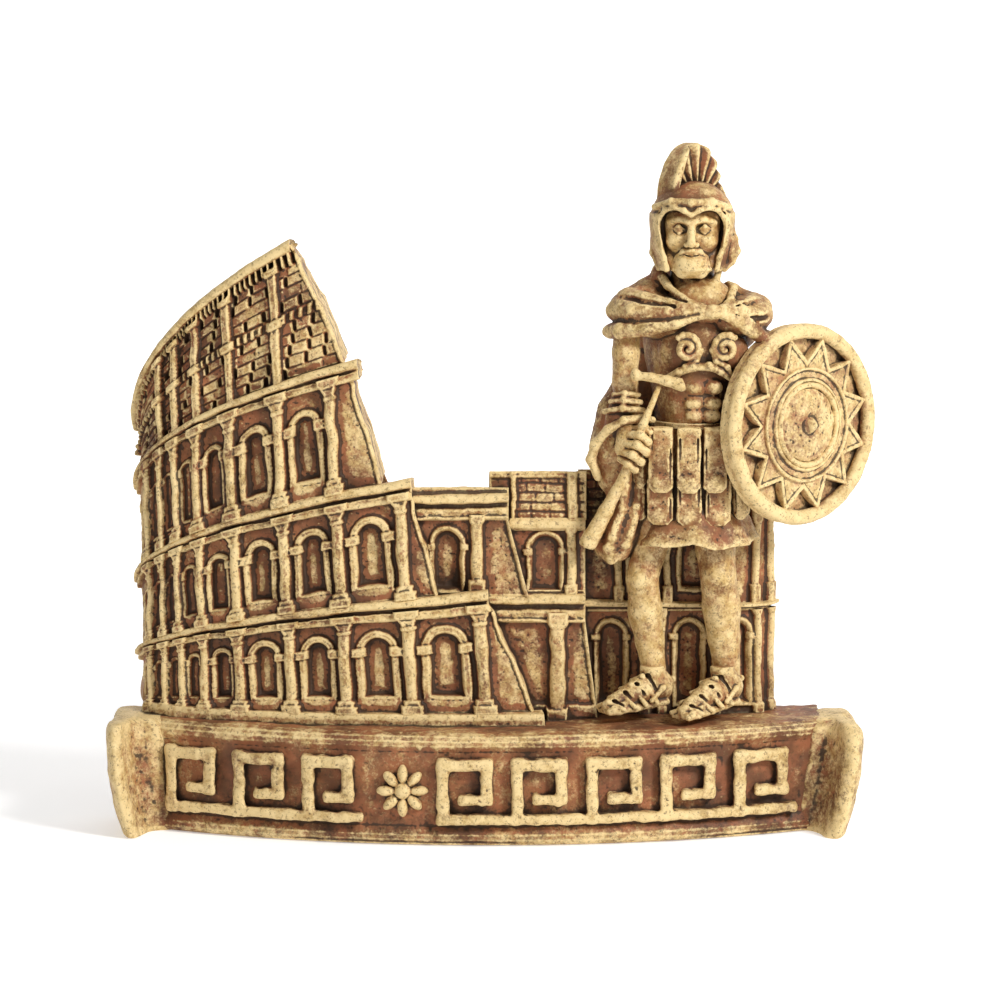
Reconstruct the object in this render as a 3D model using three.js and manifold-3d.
// A cast-resin relief souvenir: a ruined amphitheatre front on a bowed plinth, with a soldier and round shield.
// The real thing is one casting with two disc magnets in its back. It is built here from the pieces that its
// sculptor's master is put together from, so each carved element is a solid of its own.
// Millimetres, +Z up. The origin is the middle of the bounding box at the underside. The front faces -Y, and a
// "depth" below is the distance forward from the flat back of the casting.
import * as THREE from "three";
import { mergeVertices } from "three/addons/utils/BufferGeometryUtils.js";
import Module from "manifold-3d";

const wasm = await Module();
wasm.setup();

// Driving dimensions.
const backY = 9.25; // the flat back of the casting
const gap = 0.1; // between pieces that are stacked
const clear = 0.3; // between pieces that are carved round each other
const slabDepth = 3; // the flat-backed slab that carries the walls
const plinthHeight = 11.3;
const plinthLeft = -34;
const plinthRight = 33.6;
const plinthBow = 68.7; // radius of the bowed front
const plinthDepth = 18; // at the middle of the bow
const friezeLow = 2.3; // the raised frieze on the plinth's front
const friezeHigh = 8.8;
const friezeProud = 0.7;
const drumCentre = -3.4; // the amphitheatre's half drum
const drumHalf = 32;
const drumBulge = 8.3;
const drumLean = 0.095; // the storeys step inwards to the left as they rise
const magnetRadius = 6;
const magnetThick = 2.4;
const magnetProud = 0.3;
const magnetPlaces = [
  [-16, 25],
  [4.5, 25],
];

// Heights of the horizontal lines of the drum: the height at the left end, and the rise that sin(angle / 2) adds.
const foot = [12.1, 0.3];
const firstCourse = [17.5, 10];
const secondCourse = [24.75, 16.7];
const thirdCourse = [34.45, 21.9];
const crownCourse = [41.65, 35.6];
// Angles round the drum of the half-columns, in degrees from the left end.
const columnAngles = [17, 24.5, 31, 38.5, 48, 59.5, 70.5, 82.5, 95.5];

// Resin colours: a terracotta body colour, a pale dry-brushed one, and the dark wash that lies in the hollows.
const finishes = {
  stone: new THREE.MeshStandardMaterial({ color: 0xa87f55, roughness: 0.62, metalness: 0 }),
  pale: new THREE.MeshStandardMaterial({ color: 0xcbb281, roughness: 0.55, metalness: 0 }),
  wash: new THREE.MeshStandardMaterial({ color: 0x70523a, roughness: 0.7, metalness: 0 }),
  ferrite: new THREE.MeshStandardMaterial({ color: 0x2b2b2e, roughness: 0.5, metalness: 0.1 }),
};

const part = new THREE.Group();

// ---------------------------------------------------------------- solids

function solid(geometry) {
  const bare = geometry.clone();
  bare.deleteAttribute("normal");
  bare.deleteAttribute("uv");
  const merged = mergeVertices(bare, 1e-4);
  return new wasm.Manifold(
    new wasm.Mesh({
      numProp: 3,
      vertProperties: merged.attributes.position.array,
      triVerts: new Uint32Array(merged.index.array),
    }),
  );
}

function geometryOf(made) {
  const mesh = made.getMesh();
  const geometry = new THREE.BufferGeometry();
  geometry.setAttribute("position", new THREE.BufferAttribute(mesh.vertProperties, 3));
  geometry.setIndex(new THREE.BufferAttribute(mesh.triVerts, 1));
  return geometry;
}

const joined = (solids) => solids.reduce((whole, piece) => whole.add(piece));
const carved = (whole, cutters) => cutters.reduce((left, cutter) => left.subtract(cutter), whole);

// The largest body of a solid that carving may have split.
function mainBody(made) {
  const bodies = made.decompose();
  return bodies.reduce((best, body) => (body.volume() > best.volume() ? body : best));
}

function add(name, made, finish = "stone") {
  const mesh = new THREE.Mesh(geometryOf(made.simplify(0.012)), finishes[finish]);
  mesh.name = name;
  part.add(mesh);
}

// Moves every point of a geometry: place(x, y, z) gives [x, depth, z] in the part.
function formed(geometry, place) {
  const position = geometry.attributes.position;
  for (let i = 0; i < position.count; i++) {
    const [x, depth, z] = place(position.getX(i), position.getY(i), position.getZ(i));
    position.setXYZ(i, x, backY - depth, z);
  }
  return solid(geometry);
}

// A block whose width, height and depth run from 0 to 1 before place(across, up, forward) puts them in the part.
function block(columns, place, rows = 1) {
  const box = new THREE.BoxGeometry(1, 1, 1, columns, rows, 1).translate(0.5, 0.5, 0.5);
  return formed(box, place);
}

const mix = THREE.MathUtils.lerp;
const radians = THREE.MathUtils.degToRad;

// A plain block between two corners, each [x, depth, z].
const slab = (low, high, columns = 1) =>
  block(columns, (a, b, c) => [mix(low[0], high[0], a), mix(low[1], high[1], c), mix(low[2], high[2], b)]);

// A flat outline in x and z, pushed forward from one depth to another.
function cutOut(points, from, to, curved = false) {
  const outline = curved ? new THREE.SplineCurve(points.map(([x, z]) => new THREE.Vector2(x, z))) : null;
  const shape = curved
    ? new THREE.Shape(outline.getPoints(points.length * 3))
    : new THREE.Shape(points.map(([x, z]) => new THREE.Vector2(x, z)));
  const plate = new THREE.ExtrudeGeometry(shape, { depth: 1, bevelEnabled: false });
  return formed(plate, (x, z, forward) => [x, mix(from, to, forward), z]);
}

// A disc that faces the back, between two depths.
function disc(x, z, radius, from, to, sides = 28) {
  const round = new THREE.CylinderGeometry(radius, radius, to - from, sides);
  return solid(round.translate(x, backY - (from + to) / 2, z));
}

function ellipsoid([x, depth, z], [rx, rd, rz], grow = 0, turn = [0, 0, 0]) {
  const ball = new THREE.SphereGeometry(1, 12, 8).scale(rx + grow, rd + grow, rz + grow);
  ball.applyMatrix4(new THREE.Matrix4().makeRotationFromEuler(new THREE.Euler(...turn.map(radians))));
  return solid(ball.translate(x, backY - depth, z));
}

// A tapered round limb between two points.
function limb(from, to, fromRadius, toRadius, grow = 0, sides = 10) {
  const start = new THREE.Vector3(from[0], backY - from[1], from[2]);
  const end = new THREE.Vector3(to[0], backY - to[1], to[2]);
  const along = end.clone().sub(start);
  const length = along.length() + 2 * grow;
  const bar = new THREE.CylinderGeometry(toRadius + grow, fromRadius + grow, length, sides);
  const up = new THREE.Vector3(0, 1, 0);
  bar.applyQuaternion(new THREE.Quaternion().setFromUnitVectors(up, along.normalize()));
  const middle = start.add(end).multiplyScalar(0.5);
  return solid(bar.translate(middle.x, middle.y, middle.z));
}

// A chain of limbs through a list of [x, depth, z, radius].
const chain = (stations, grow = 0) =>
  joined(
    stations
      .slice(1)
      .map((to, i) => limb(stations[i], to, stations[i][3], to[3], grow))
      .concat(stations.slice(1, -1).map((s) => ellipsoid(s, [s[3], s[3], s[3]], grow))),
  );

// ---------------------------------------------------------------- plinth

const bowDepth = (x) => plinthDepth - (plinthBow - Math.sqrt(plinthBow ** 2 - x ** 2));

function plinth() {
  const bowCentre = backY - plinthDepth + plinthBow;
  const angleAt = (x) => Math.atan2(backY - bowDepth(x) - bowCentre, x);
  const plan = new THREE.Shape();
  plan.moveTo(plinthRight, backY);
  plan.lineTo(plinthLeft, backY);
  plan.absarc(0, bowCentre, plinthBow, angleAt(plinthLeft), angleAt(plinthRight), false);
  plan.closePath();
  const body = new THREE.ExtrudeGeometry(plan, { depth: plinthHeight, bevelEnabled: false, curveSegments: 18 });
  add("plinth", solid(body), "stone");
}

// One rolled end of the plinth: a plan outline of [x, depth] that draws in towards its foot.
function scrollEnd(name, plan, drawIn) {
  const shape = new THREE.Shape(plan.map(([x, depth]) => new THREE.Vector2(x, -depth)));
  const bar = new THREE.ExtrudeGeometry(shape, { depth: 1, steps: 5, bevelEnabled: false });
  const bent = formed(bar, (x, y, up) => [x + drawIn * (1 - up) ** 2, -y, up * (plinthHeight + 0.2)]);
  add(name, bent, "pale");
}

function scrollEnds() {
  const leftEnd = [
    [-34.6, 0.4],
    [-38.5, 0.4],
    [-38.5, 11.2],
    [-38, 13],
    [-37.1, 13.5],
    [-36.3, 12.6],
    [-35.7, 10.6],
    [-34.6, 9.3],
  ];
  const rightEnd = [
    [37.1, 0.4],
    [34.4, 0.4],
    [34.4, 9.8],
    [34.5, 12.2],
    [35.2, 13.5],
    [36.2, 13.6],
    [37, 12.4],
  ];
  scrollEnd("left_scroll_end", leftEnd, 0.3);
  scrollEnd("right_scroll_end", rightEnd.reverse(), -0.3);
}

// A straight stroke of the frieze, laid on the bowed front.
const stroke = (left, right, low, high) =>
  block(Math.max(1, Math.round((right - left) / 2)), (a, b, c) => {
    const x = mix(left, right, a);
    return [x, bowDepth(x) + gap + c * friezeProud, mix(low, high, b)];
  });

// A run of key patterns standing on one rail.
function meander(name, left, keys, pitch) {
  const thick = 0.95;
  const strokes = [stroke(left, left + keys * pitch - thick, friezeLow, friezeLow + thick)];
  for (let key = 0; key < keys; key++) {
    const start = left + key * pitch;
    const end = start + pitch - 2.1 * thick;
    strokes.push(stroke(start, start + thick, friezeLow, friezeHigh));
    strokes.push(stroke(start, end, friezeHigh - thick, friezeHigh));
    strokes.push(stroke(end - thick, end, friezeLow + 2 * thick, friezeHigh));
    strokes.push(stroke(start + 2 * thick, end, friezeLow + 2 * thick, friezeLow + 3 * thick));
  }
  add(name, joined(strokes), "pale");
}

function rosette(x) {
  const middle = (friezeLow + friezeHigh) / 2;
  const start = bowDepth(x + 2.3) + gap;
  const pieces = [disc(x, middle, 1.2, start, start + friezeProud, 12)];
  const petals = 8;
  for (let i = 0; i < petals; i++) {
    const angle = (2 * Math.PI * i) / petals;
    pieces.push(disc(x + 1.6 * Math.cos(angle), middle + 1.6 * Math.sin(angle), 0.7, start, start + 0.5, 8));
  }
  add("frieze_rosette", joined(pieces), "pale");
}

// ---------------------------------------------------------------- amphitheatre

const drumX = (angle, z) =>
  drumCentre - drumHalf * Math.cos(radians(angle)) - drumLean * (z - foot[0]) * Math.sin(radians(angle / 2));
const drumDepth = (angle) => slabDepth + drumBulge * Math.sin(radians(angle));
const lineHeight = (line, angle) => line[0] + line[1] * Math.sin(radians(angle / 2));
const corniceThick = (angle) => 0.75 + 1.7 * Math.sin(radians(angle / 2));

// A stretch of the drum between two lines. The right-hand end may slope, so it has an angle at its foot and top.
function drumPiece(from, toFoot, toTop, lowAt, highAt, proud = 0) {
  return block(18, (a, b, c) => {
    const angle = mix(from, mix(toFoot, toTop, b), a);
    const z = mix(lowAt(angle), highAt(angle), b);
    const front = drumDepth(angle) + proud;
    return [drumX(angle, z), mix(slabDepth + gap, front, c), z];
  });
}

// A flat outline, 0 to 1 across a bay and up a storey, carried onto the drum between two depths off its face.
function onDrum(shape, from, to, lowAt, highAt, back, front, segments = 5) {
  const options = { depth: 1, bevelEnabled: false, curveSegments: segments };
  return formed(new THREE.ExtrudeGeometry(shape, options), (a, b, c) => {
    const angle = mix(from, to, a);
    const z = mix(lowAt(angle), highAt(angle), b);
    return [drumX(angle, z), drumDepth(angle) + mix(back, front, c), z];
  });
}

// A round-headed opening, in shares of a bay's width and a storey's height.
function archShape(width, foot, spring, crown) {
  const shape = new THREE.Shape();
  shape.moveTo(0.5 - width / 2, foot);
  shape.lineTo(0.5 + width / 2, foot);
  shape.lineTo(0.5 + width / 2, spring);
  shape.absellipse(0.5, spring, width / 2, crown - spring, 0, Math.PI, false);
  shape.closePath();
  return shape;
}

// A half-column with its base block and capital, in front of the drum at one angle.
function halfColumn(angle, lowAt, highAt, radius) {
  const low = lowAt(angle);
  const high = highAt(angle);
  const depth = drumDepth(angle);
  const at = (z) => [drumX(angle, z), depth, z];
  const cap = (z, tall, wide) => {
    const x = drumX(angle, z);
    return slab([x - wide, depth - 0.6, z], [x + wide, depth + wide * 0.9, z + tall]);
  };
  const shaft = limb(at(low + 0.1), at(high - 0.1), radius, radius, 0, 6);
  return joined([shaft, cap(high - 0.75, 0.75, radius * 1.7), cap(low, 0.9, radius * 1.5)]);
}

// What a course takes out of the storeys above and below it.
const courseCutter = (line) =>
  drumPiece(
    3,
    118,
    118,
    (angle) => lineHeight(line, angle) - corniceThick(angle) - gap,
    (angle) => lineHeight(line, angle) + gap,
    6,
  );

// One storey of arches: the wall, its niches and its half-columns.
function arcade(name, toFoot, toTop, line, nextLine, columns) {
  const lowAt = (angle) => lineHeight(line, angle) + gap;
  const highAt = (angle) => lineHeight(nextLine, angle) - corniceThick(angle) - gap;
  const wall = drumPiece(8, toFoot, toTop, lowAt, highAt);
  const niches = columnAngles.slice(0, columns - 1).map((angle, i) => {
    const width = columnAngles[i + 1] - angle;
    const shape = archShape(0.5, 0.14, 0.6, 0.84);
    return onDrum(shape, angle, angle + width, lowAt, highAt, -0.9, 0.4, 4);
  });
  const radius = (angle) => 0.3 + 0.3 * Math.sin(radians(angle));
  const shafts = columnAngles.slice(0, columns).map((a) => halfColumn(a, lowAt, highAt, radius(a)));
  const whole = joined([carved(wall, niches), ...shafts]);
  const courses = [nextLine, line].filter((course) => course !== foot).map(courseCutter);
  add(name, mainBody(carved(whole, courses)), "stone");
}

function cornice(name, line, to, proud) {
  const lowAt = (angle) => lineHeight(line, angle) - corniceThick(angle);
  const highAt = (angle) => lineHeight(line, angle);
  add(name, drumPiece(5, to, to, lowAt, highAt, proud), "pale");
}

// The top storey: a plain wall with flat pilasters and small corbels, under the crown cornice.
function attic() {
  const lowAt = (angle) => lineHeight(thirdCourse, angle) + gap;
  const highAt = (angle) => lineHeight(crownCourse, angle) - 0.9 - gap;
  const wall = drumPiece(7, 75.3, 66.3, lowAt, highAt);
  const pilaster = new THREE.Shape([
    new THREE.Vector2(0, 0),
    new THREE.Vector2(1, 0),
    new THREE.Vector2(1, 1),
    new THREE.Vector2(0, 1),
  ]);
  const pilasters = [24.5, 31, 38.5, 48, 59.5].map((angle) =>
    onDrum(pilaster, angle - 0.9, angle + 0.9, lowAt, (a) => highAt(a) - 1.6, -0.4, 0.45),
  );
  add("attic_wall", mainBody(carved(joined([wall, ...pilasters]), [courseCutter(thirdCourse)])), "stone");
  const crown = drumPiece(
    5,
    66.3,
    65.8,
    (angle) => lineHeight(crownCourse, angle) - 0.9,
    (angle) => lineHeight(crownCourse, angle),
    1,
  );
  add("crown_cornice", crown, "pale");
}

function outerWall() {
  arcade("ground_arcade", 103, 97.2, foot, firstCourse, 9);
  arcade("second_arcade", 86.5, 83.6, firstCourse, secondCourse, 8);
  arcade("third_arcade", 79.6, 75.6, secondCourse, thirdCourse, 7);
  attic();
  cornice("first_cornice", firstCourse, 97.2, 0.9);
  cornice("second_cornice", secondCourse, 84, 0.9);
  cornice("third_cornice", thirdCourse, 75.6, 0.9);
}

function stylobate() {
  const lowAt = () => plinthHeight + gap;
  const highAt = (angle) => lineHeight(foot, angle);
  add("stylobate", drumPiece(26, 106, 105, lowAt, highAt, 1.1), "stone");
}

// A straight stretch of the lower walls. Each side is given as x at its foot and x at its top.
function innerWall([low, high], left, right, depth) {
  return block(4, (a, b, c) => {
    const x = mix(mix(left[0], left[1], b), mix(right[0], right[1], b), a);
    return [x, mix(slabDepth + gap, depth, c), mix(low, high, b)];
  });
}

function archCut([x, z], width, tall, depth) {
  const spring = tall - width / 2;
  const shape = new THREE.Shape();
  shape.moveTo(x - width / 2, z);
  shape.lineTo(x + width / 2, z);
  shape.lineTo(x + width / 2, z + spring);
  shape.absarc(x, z + spring, width / 2, 0, Math.PI, false);
  shape.closePath();
  const cutter = new THREE.ExtrudeGeometry(shape, { depth: 1, bevelEnabled: false, curveSegments: 6 });
  return formed(cutter, (a, b, c) => [a, mix(depth - 0.9, depth + 0.5, c), b]);
}

const post = (x, depth, low, high, half = 0.55) => slab([x - half, depth - 0.3, low], [x + half, depth + 0.5, high]);

// The lower ring that shows to the right of the tall wall: a bay with its cornice, a brick bay and their ground storey.
function innerRing() {
  const bay = innerWall([25.2, 31.7], [-6, -6.9], [3.5, 1.6], 10);
  add("inner_bay_wall", joined([carved(bay, [archCut([-4.15, 25.4], 3.1, 5.8, 10)]), post(-1.35, 10, 25.3, 31.6)]));
  add("inner_bay_cornice", slab([-6.9, slabDepth + gap, 31.8], [1.9, 11, 34.3], 2), "pale");
  const brick = innerWall([24.2, 30.6], [3.8, 2.1], [9.5, 9.5], 9);
  add("brick_bay_wall", joined([carved(brick, [archCut([5.7, 24.4], 2.4, 5.4, 9)]), post(8.3, 9, 24.3, 30.5)]));
  add("brick_bay_sill", slab([2.2, slabDepth + gap, 30.7], [9.6, 9.6, 31.5]), "pale");
  add("brick_parapet", joined([slab([2.2, slabDepth + gap, 31.6], [9.6, 8.8, 36]), post(8.3, 8.8, 31.7, 35.9)]));
  const ground = innerWall([12.6, 21.3], [4.1, 0.7], [10.9, 9.5], 9);
  add("inner_ground_wall", joined([ground, post(6.7, 9, 12.7, 21.2)]));
  add("inner_ground_cornice", slab([0.9, slabDepth + gap, 21.4], [9.5, 10, 23.9], 2), "pale");
}

const rearX = (angle) => drumCentre - drumHalf * Math.cos(radians(angle));
const rearDepth = (angle) => slabDepth + 3.5 * Math.sin(radians(angle));

// The back range behind the soldier, which rounds away to the right.
function rearPiece(from, lowAt, highAt, proud, back = slabDepth + gap) {
  return block(10, (a, b, c) => {
    const angle = mix(from, 176, a);
    const x = rearX(angle);
    return [x, mix(back, rearDepth(angle) + proud, c), mix(lowAt(x), highAt(x), b)];
  });
}

const rearCourse = (x) => 23.1 - 0.06 * (x - 10);
const rearTop = (x) => 35.6 - 0.2 * (x - 10);

function rearRange() {
  const arches = [11.6, 19.9].map((x) => archCut([x, 12.2], 2, 8, 5.9));
  const ground = rearPiece(117, () => plinthHeight + gap, (x) => rearCourse(x) - 1.1, 0);
  add("rear_ground_arcade", joined([carved(ground, arches), post(26.5, 4.1, 11.6, 20.8)]));
  add("rear_string_course", rearPiece(117, (x) => rearCourse(x) - 1, rearCourse, 0.6), "pale");
  add("rear_upper_wall", rearPiece(117, (x) => rearCourse(x) + gap, rearTop, 0));
}

// The flat-backed slab behind all the walls, with the two pockets for the magnets.
function backSlab() {
  const outline = [
    [-34.6, plinthHeight + gap],
    [-35.4, 18],
    [-35.4, 34],
    [-35.3, 40.5],
    [-33.4, 47],
    [-30, 51.8],
    [-24.6, 56.3],
    [-18.9, 59.3],
    [-14, 47],
    [-10.9, 36],
    [-8, 34.3],
    [1.9, 34.3],
    [2.3, 36],
    [10.6, 36],
    [27, 31.9],
    [28.4, 20],
    [28.4, plinthHeight + gap],
  ];
  const plate = cutOut([...outline].reverse(), 0, slabDepth);
  const pockets = magnetPlaces.map(([x, z]) => disc(x, z, magnetRadius + 0.2, -1, magnetThick));
  add("back_slab", carved(plate, pockets), "wash");
}

function magnets() {
  magnetPlaces.forEach(([x, z], i) => {
    add(["left_magnet", "right_magnet"][i], disc(x, z, magnetRadius, -magnetProud, magnetThick - 0.3), "ferrite");
  });
}

// ---------------------------------------------------------------- soldier

// Each of these makes one element of the figure, grown by a margin when it is used to cut its neighbours.
const sandal = (heel, toe, grow = 0) =>
  joined([
    limb(heel, toe, 1.45, 1.15, grow),
    ellipsoid(toe, [1.5, 1.6, 1.1], grow),
    ellipsoid(heel, [1.7, 1.9, 1.5], grow),
  ]);
const leftSandal = (grow = 0) => sandal([17, 9, 12.9], [12.2, 11.6, 12.6], grow);
const rightSandal = (grow = 0) => sandal([24, 7.5, 13.2], [19.9, 11.2, 12.9], grow);
const leftLeg = (grow = 0) =>
  chain(
    [
      [16.5, 8.6, 13.6, 1.5],
      [16.4, 8.4, 17, 1.6],
      [16.1, 8, 21, 2.3],
      [16, 8.6, 25.5, 2.2],
      [17.2, 8.2, 30, 2.6],
    ],
    grow,
  );
const rightLeg = (grow = 0) =>
  chain(
    [
      [23.5, 7.4, 13.8, 1.5],
      [23.2, 7, 17, 1.7],
      [22.9, 6.8, 21.5, 2.4],
      [22.5, 7.4, 26, 2.3],
      [22.2, 7.6, 30, 2.6],
    ],
    grow,
  );
const bell = (low, high, [x, depth], lowRadius, highRadius, grow = 0, sides = 18) => {
  const tall = high - low + 2 * grow;
  const round = new THREE.CylinderGeometry(1, 1, tall, sides);
  const middle = (low + high) / 2;
  return formed(round.rotateX(Math.PI / 2), (a, b, c) => {
    const share = (c + tall / 2) / tall;
    const rx = mix(lowRadius[0], highRadius[0], share) + grow;
    const ry = mix(lowRadius[1], highRadius[1], share) + grow;
    return [x + a * rx, depth - b * ry, middle + c];
  });
};
const tunic = (grow = 0) => bell(27.4, 31.4, [20.2, 7.2], [6.4, 3.6], [5.4, 3.3], grow);
const torso = (grow = 0) =>
  joined([
    bell(41.9, 47, [19.8, 8], [4.6, 3.4], [5, 3.9], grow),
    bell(46.9, 52, [19.9, 8], [5, 3.9], [5.4, 3.2], grow),
  ]);
const belt = (grow = 0) => bell(39.9, 41.6, [19.6, 7.6], [4.9, 3.6], [4.8, 3.5], grow);
const cape = (grow = 0) =>
  joined([
    ellipsoid([19.9, 8.4, 52.6], [8.2, 4, 3.1], grow),
    ellipsoid([14.6, 8.2, 51.2], [3.1, 3, 3.3], grow),
    ellipsoid([26, 7.6, 51], [2.9, 3, 3.2], grow),
  ]);
const knot = (grow = 0) => ellipsoid([22.2, 12.3, 51.8], [1.7, 1.2, 1.5], grow);
const drape = (grow = 0) =>
  chain(
    [
      [12.4, 6.6, 48.5, 2.2],
      [12.2, 6.2, 39, 2.6],
      [12.6, 6.2, 29.2, 2.2],
    ],
    grow,
  );
const arm = (grow = 0) =>
  chain(
    [
      [13.7, 10.4, 49, 1.7],
      [13.5, 10.8, 43.6, 1.45],
    ],
    grow,
  );
const cuffs = (grow = 0) => ellipsoid([14, 11, 42.3], [2, 1.8, 1.1], grow);
const fist = (grow = 0) => ellipsoid([14.3, 12, 39.1], [1.9, 1.6, 2], grow);
const weaponShaft = (grow = 0) =>
  chain(
    [
      [16.4, 13.2, 44.6, 0.6],
      [14.2, 12.6, 39, 0.62],
      [9.9, 10.8, 29.4, 0.8],
    ],
    grow,
  );
const weaponHead = (grow = 0) => limb([14.9, 13.2, 46.4], [19.7, 13.5, 45.3], 0.7, 0.75, grow);
const neck = (grow = 0) => limb([20.2, 8, 53.6], [20.2, 9, 58.4], 2.1, 1.9, grow);
const head = (grow = 0) =>
  joined([ellipsoid([20, 9.8, 60.2], [3, 3.4, 3.9], grow), ellipsoid([19.8, 11, 58], [2, 2, 1.9], grow)]);
const helmet = (grow = 0) =>
  joined([
    ellipsoid([20.4, 8.9, 61.8], [3.9, 4, 3.4], grow),
    ellipsoid([20.9, 7.6, 58.6], [3.5, 2.6, 3], grow),
  ]);

const shieldTurn = radians(41); // the shield's face is turned this far towards the right
const shieldCentre = [30.1, 8.6, 41.2];
const shieldRadius = 10;

// A round layer of the shield, between two heights off its back. Turned about its own axis, then set in place.
function shieldLayer(profile, sides = 40) {
  const points = profile.map(([r, up]) => new THREE.Vector2(r, up));
  const layer = new THREE.LatheGeometry(points, sides).rotateX(Math.PI);
  return setOnShield(solid(layer));
}

// Takes a solid whose own axis is -Y, at the origin, to the shield's place.
function setOnShield(made) {
  const [x, depth, z] = shieldCentre;
  return made.rotate([0, -6, 0]).rotate([0, 0, THREE.MathUtils.radToDeg(shieldTurn)]).translate([x, backY - depth, z]);
}

const shieldPlate = () =>
  shieldLayer([
    [0, -0.9],
    [shieldRadius - 0.9, -0.9],
    [shieldRadius - 0.9, 0.6],
    [0, 0.6],
  ]);

function shield() {
  add("shield_plate", shieldPlate(), "pale");
  const band = (inner, outer, low, high, sides) =>
    shieldLayer(
      [
        [inner, low],
        [outer, low],
        [outer, high],
        [inner, high],
        [inner, low],
      ],
      sides,
    );
  add("shield_rim", band(shieldRadius - 0.8, shieldRadius, -0.9, 1.3, 48), "pale");
  const star = new THREE.Shape();
  for (let i = 0; i < 24; i++) {
    const angle = (Math.PI * i) / 12;
    const reach = i % 2 ? 6.2 : 8.6;
    star[i ? "lineTo" : "moveTo"](reach * Math.cos(angle), reach * Math.sin(angle));
  }
  star.closePath();
  const plate = new THREE.ExtrudeGeometry(star, { depth: 0.5, bevelEnabled: false }).translate(0, 0, 0.7);
  add("shield_star", setOnShield(solid(plate.rotateX(Math.PI / 2))), "stone");
  add("shield_outer_ring", band(4.3, 5.4, 1.3, 2, 36), "pale");
  add("shield_inner_ring", band(2.5, 3.6, 1.3, 1.9, 28), "pale");
  const boss = [
    [0, 1.3],
    [1.7, 1.3],
    [1.4, 2.1],
    [0.6, 2.5],
    [0.4, 3.2],
    [0, 3.3],
  ];
  add("shield_boss", shieldLayer(boss, 20), "pale");
}

// Flaps of the soldier's skirt: a row of hanging strips joined by the band they hang from.
function flaps(name, low, high, [x, depth], radius, count, cutters) {
  const band = bell(high - 0.9, high, [x, depth], [radius[0] + 0.1, radius[1] + 0.1], radius);
  const strips = [];
  for (let i = 0; i < count; i++) {
    const angle = Math.PI * (0.14 + (0.72 * i) / (count - 1));
    const half = 1.15;
    const centre = [x - radius[0] * Math.cos(angle), depth + radius[1] * Math.sin(angle)];
    const strip = new THREE.BoxGeometry(2 * half, 0.9, high - low - 0.3);
    strip.rotateZ(Math.PI / 2 - angle);
    strips.push(solid(strip.translate(centre[0], backY - centre[1], (low + high - 0.3) / 2)));
  }
  add(name, mainBody(carved(joined([band, ...strips]), cutters)), "pale");
}

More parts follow.
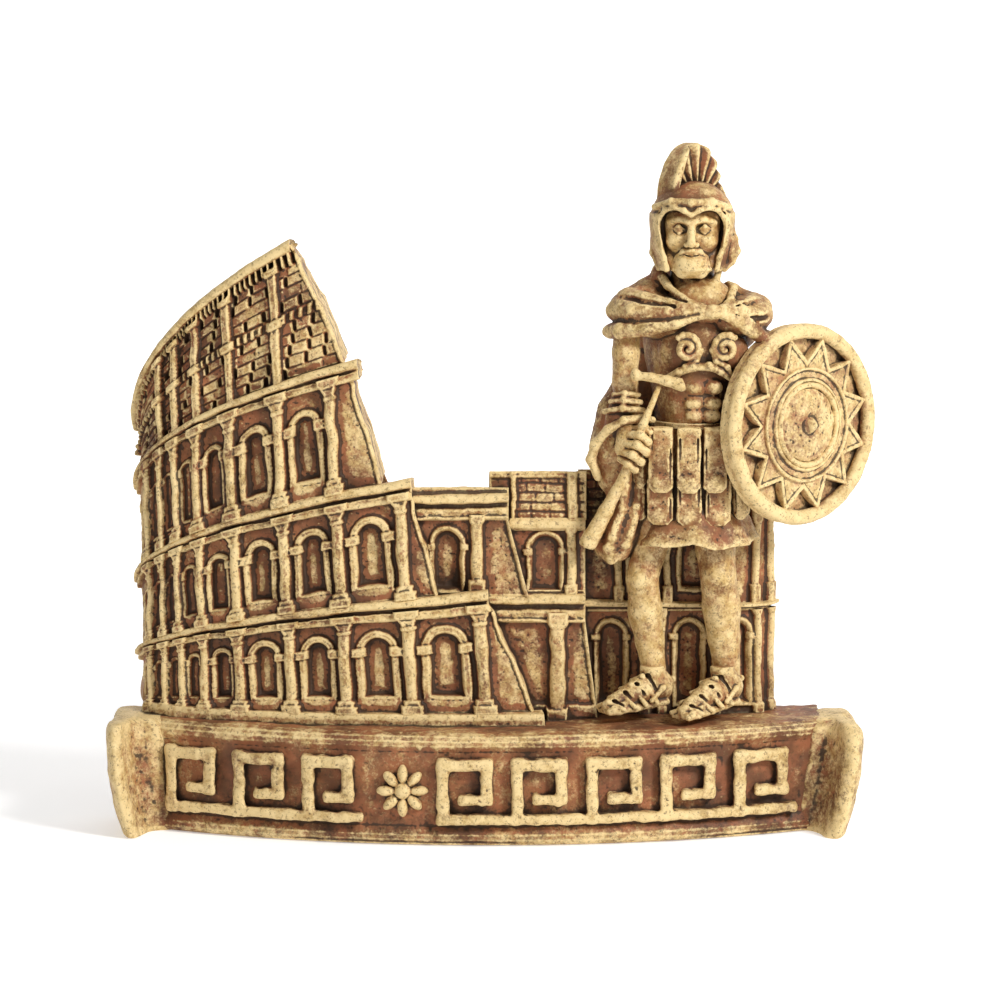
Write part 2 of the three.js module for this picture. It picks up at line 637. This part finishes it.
function soldier() {
  const wall = slab([8, -1, 0], [40, 6.9, 80]); // everything in front of the walls
  const floor = slab([0, -1, 0], [40, 25, plinthHeight + 0.1]);
  const shieldSpace = shieldLayer([
    [0, -1.3],
    [shieldRadius + clear, -1.3],
    [shieldRadius + clear, 4],
    [0, 4],
  ]);
  const place = (name, made, cutters, finish = "pale") =>
    add(name, mainBody(carved(made, [wall, floor, shieldSpace, ...cutters])), finish);
  place("left_sandal", leftSandal(), []);
  place("right_sandal", rightSandal(), [leftSandal(clear)]);
  place("left_leg", leftLeg(), [leftSandal(clear), rightSandal(clear), tunic(clear)]);
  place("right_leg", rightLeg(), [leftSandal(clear), rightSandal(clear), leftLeg(clear), tunic(clear)]);
  place("tunic_hem", tunic(), [drape(clear), weaponShaft(clear)]);
  flaps("lower_flaps", 31.7, 35.4, [20, 6.6], [4.9, 4.2], 5, [wall, shieldSpace, drape(clear)]);
  flaps("upper_flaps", 35.7, 39.6, [19.8, 6.8], [4.8, 4.4], 5, [wall, shieldSpace, drape(clear), fist(clear)]);
  place("belt", belt(), [fist(clear), cuffs(clear), drape(clear), weaponShaft(clear), arm(clear)]);
  place("cuirass", torso(), [arm(clear), cape(clear), weaponHead(clear), weaponShaft(clear), cuffs(clear),
    knot(clear), drape(clear), fist(clear)]);
  place("cape_shoulders", cape(), [neck(clear), knot(clear), head(clear), helmet(clear)]);
  place("cape_knot", knot(), []);
  place("cape_drape", drape(), [cape(clear), arm(clear), fist(clear), cuffs(clear), weaponShaft(clear)], "stone");
  place("upper_arm", arm(), [cape(clear), cuffs(clear)]);
  place("wrist_folds", cuffs(), [fist(clear), weaponShaft(clear)]);
  place("fist", fist(), [weaponShaft(clear)]);
  place("hammer_shaft", weaponShaft(), [weaponHead(clear)]);
  place("hammer_head", weaponHead(), []);
  place("neck", neck(), [head(clear), helmet(clear)]);
  place("face", head(), [helmet(clear)]);
  place("helmet", helmet(), []);
  const fan = [
    [17.2, 65.4],
    [17.3, 67.6],
    [18.6, 69.5],
    [20.6, 70],
    [22.3, 68.6],
    [23, 66.4],
    [22.6, 64],
    [20.8, 63],
    [18.4, 63.6],
  ];
  add("helmet_crest", mainBody(carved(cutOut([...fan].reverse(), 7.4, 10.4), [helmet(clear)])), "pale");
}

// The solid resin behind the figure and behind the turned shield, down to the flat back.
function figureBack() {
  const outline = [
    [12.6, 36.2],
    [12.3, 48],
    [13.6, 52.6],
    [17.6, 54.6],
    [17.5, 63],
    [19.3, 66.6],
    [21.6, 66.4],
    [23.6, 62],
    [23.4, 54.6],
    [26.6, 52.6],
    [26.8, 36.2],
  ];
  add("figure_back", cutOut([...outline].reverse(), 0, 6.8), "wash");
  const [x, , z] = shieldCentre;
  const oval = [];
  for (let i = 0; i < 32; i++) {
    const angle = (Math.PI * i) / 16;
    oval.push([x + 6.6 * Math.cos(angle), z + 9.2 * Math.sin(angle)]);
  }
  const ahead = new THREE.BoxGeometry(60, 20, 60).translate(0, -8.8, 0);
  const besideFigure = slab([10, -1, 20], [26.9, 30, 60]);
  const wedge = carved(cutOut(oval, 0, 20), [setOnShield(solid(ahead)), besideFigure]);
  const belowSlab = slab([10, -1, 20], [28.5, 7, 36.1]);
  add("shield_back", mainBody(carved(wedge, [belowSlab, cape(clear)])), "wash");
}

plinth();
scrollEnds();
meander("frieze_left_meander", -32.6, 3, 7);
rosette(-8.6);
meander("frieze_right_meander", -5.2, 5, 7.4);
stylobate();
outerWall();
innerRing();
rearRange();
backSlab();
magnets();
soldier();
shield();
figureBack();

export default part;
